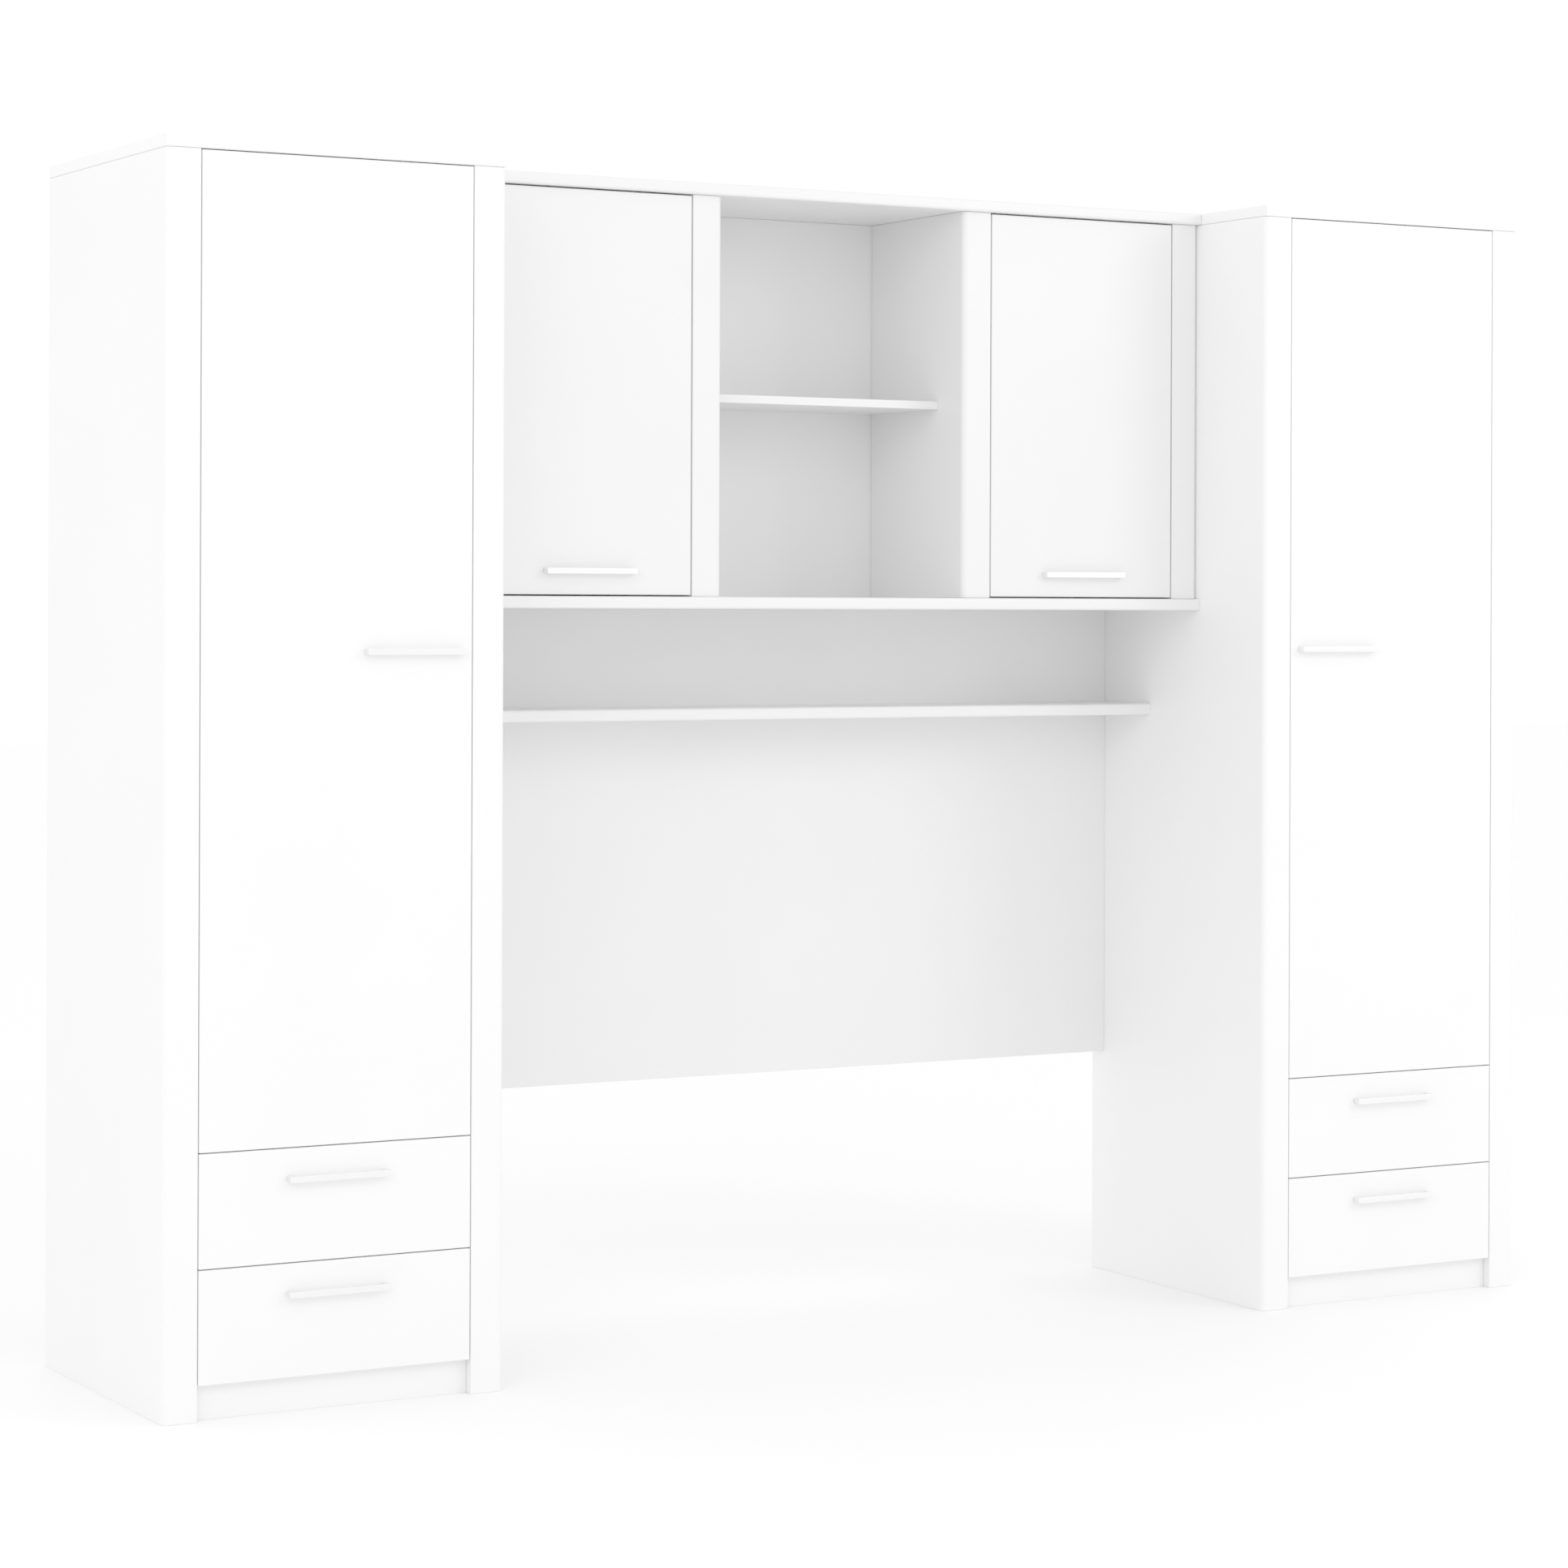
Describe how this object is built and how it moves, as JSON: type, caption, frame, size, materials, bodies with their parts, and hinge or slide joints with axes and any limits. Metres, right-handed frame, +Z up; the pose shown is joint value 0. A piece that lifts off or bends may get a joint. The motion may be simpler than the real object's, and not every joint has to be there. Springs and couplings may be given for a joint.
{
  "type": "over-bed wardrobe bridge unit",
  "caption": "White storage unit that frames a bed: two tall wardrobes with drawers, joined by a bridge cabinet with lift-up flaps, over a headboard panel with a shelf.",
  "frame": {"origin": "on the floor, at the middle of the outer box in plan", "axes": "+X to the right along the unit, +Y towards the wall, +Z up; the front faces -Y"},
  "size_m": [2.81, 0.598, 2.1],
  "materials": {
    "white_board": "satin white melamine on board",
    "inner_board": "matt white melamine on board",
    "drawer_board": "matt white foil on board",
    "hardboard": "white lacquered hardboard",
    "handle_aluminium": "satin",
    "fitting_steel": "zinc plated, satin"
  },
  "bodies": {
    "carcass": {"bridge_back_panel": "white_board", "bridge_bay_shelf": "white_board", "bridge_bottom_board": "white_board", "bridge_divider_left": "white_board", "bridge_divider_right": "white_board", "bridge_end_left": "white_board", "bridge_end_right": "white_board", "bridge_top_board": "white_board", "headboard_panel": "white_board", "headboard_shelf": "white_board", "left_back_panel": "hardboard", "left_door_hinge_lower": "fitting_steel", "left_door_hinge_upper": "fitting_steel", "left_drawer_lower_runner_inner": "fitting_steel", "left_drawer_lower_runner_outer": "fitting_steel", "left_drawer_shelf": "inner_board", "left_drawer_upper_runner_inner": "fitting_steel", "left_drawer_upper_runner_outer": "fitting_steel", "left_floor_board": "inner_board", "left_hanging_rail": "fitting_steel", "left_hat_shelf": "inner_board", "left_plinth": "white_board", "left_side_inner": "white_board", "left_side_outer": "white_board", "left_top_board": "white_board", "right_back_panel": "hardboard", "right_door_hinge_lower": "fitting_steel", "right_door_hinge_upper": "fitting_steel", "right_drawer_lower_runner_inner": "fitting_steel", "right_drawer_lower_runner_outer": "fitting_steel", "right_drawer_shelf": "inner_board", "right_drawer_upper_runner_inner": "fitting_steel", "right_drawer_upper_runner_outer": "fitting_steel", "right_floor_board": "inner_board", "right_hanging_rail": "fitting_steel", "right_hat_shelf": "inner_board", "right_plinth": "white_board", "right_side_inner": "white_board", "right_side_outer": "white_board", "right_top_board": "white_board"},
    "left_door": {"left_door": "white_board", "left_door_handle": "handle_aluminium"},
    "left_drawer_lower": {"left_drawer_lower_box": "drawer_board", "left_drawer_lower_front": "white_board", "left_drawer_lower_handle": "handle_aluminium"},
    "left_drawer_upper": {"left_drawer_upper_box": "drawer_board", "left_drawer_upper_front": "white_board", "left_drawer_upper_handle": "handle_aluminium"},
    "left_flap": {"left_flap": "white_board", "left_flap_handle": "handle_aluminium"},
    "right_door": {"right_door": "white_board", "right_door_handle": "handle_aluminium"},
    "right_drawer_lower": {"right_drawer_lower_box": "drawer_board", "right_drawer_lower_front": "white_board", "right_drawer_lower_handle": "handle_aluminium"},
    "right_drawer_upper": {"right_drawer_upper_box": "drawer_board", "right_drawer_upper_front": "white_board", "right_drawer_upper_handle": "handle_aluminium"},
    "right_flap": {"right_flap": "white_board", "right_flap_handle": "handle_aluminium"}
  },
  "joints": [
    {"name": "left_door_hinge", "type": "hinge", "parent": "carcass", "child": "left_door", "pos_m": [-1.343, -0.281, 1.2575], "axis": [0, 0, -1], "range_deg": [0, 110]},
    {"name": "left_drawer_lower_slide", "type": "slide", "parent": "carcass", "child": "left_drawer_lower", "axis": [0, -1, 0], "range_m": [0, 0.4]},
    {"name": "left_drawer_upper_slide", "type": "slide", "parent": "carcass", "child": "left_drawer_upper", "axis": [0, -1, 0], "range_m": [0, 0.4]},
    {"name": "left_flap_hinge", "type": "hinge", "parent": "carcass", "child": "left_flap", "pos_m": [-0.5265, -0.06, 2.075], "axis": [-1, 0, 0], "range_deg": [0, 90]},
    {"name": "right_door_hinge", "type": "hinge", "parent": "carcass", "child": "right_door", "pos_m": [1.343, -0.281, 1.2575], "axis": [0, 0, 1], "range_deg": [0, 110]},
    {"name": "right_drawer_lower_slide", "type": "slide", "parent": "carcass", "child": "right_drawer_lower", "axis": [0, -1, 0], "range_m": [0, 0.4]},
    {"name": "right_drawer_upper_slide", "type": "slide", "parent": "carcass", "child": "right_drawer_upper", "axis": [0, -1, 0], "range_m": [0, 0.4]},
    {"name": "right_flap_hinge", "type": "hinge", "parent": "carcass", "child": "right_flap", "pos_m": [0.5265, -0.06, 2.075], "axis": [-1, 0, 0], "range_deg": [0, 90]}
  ]
}
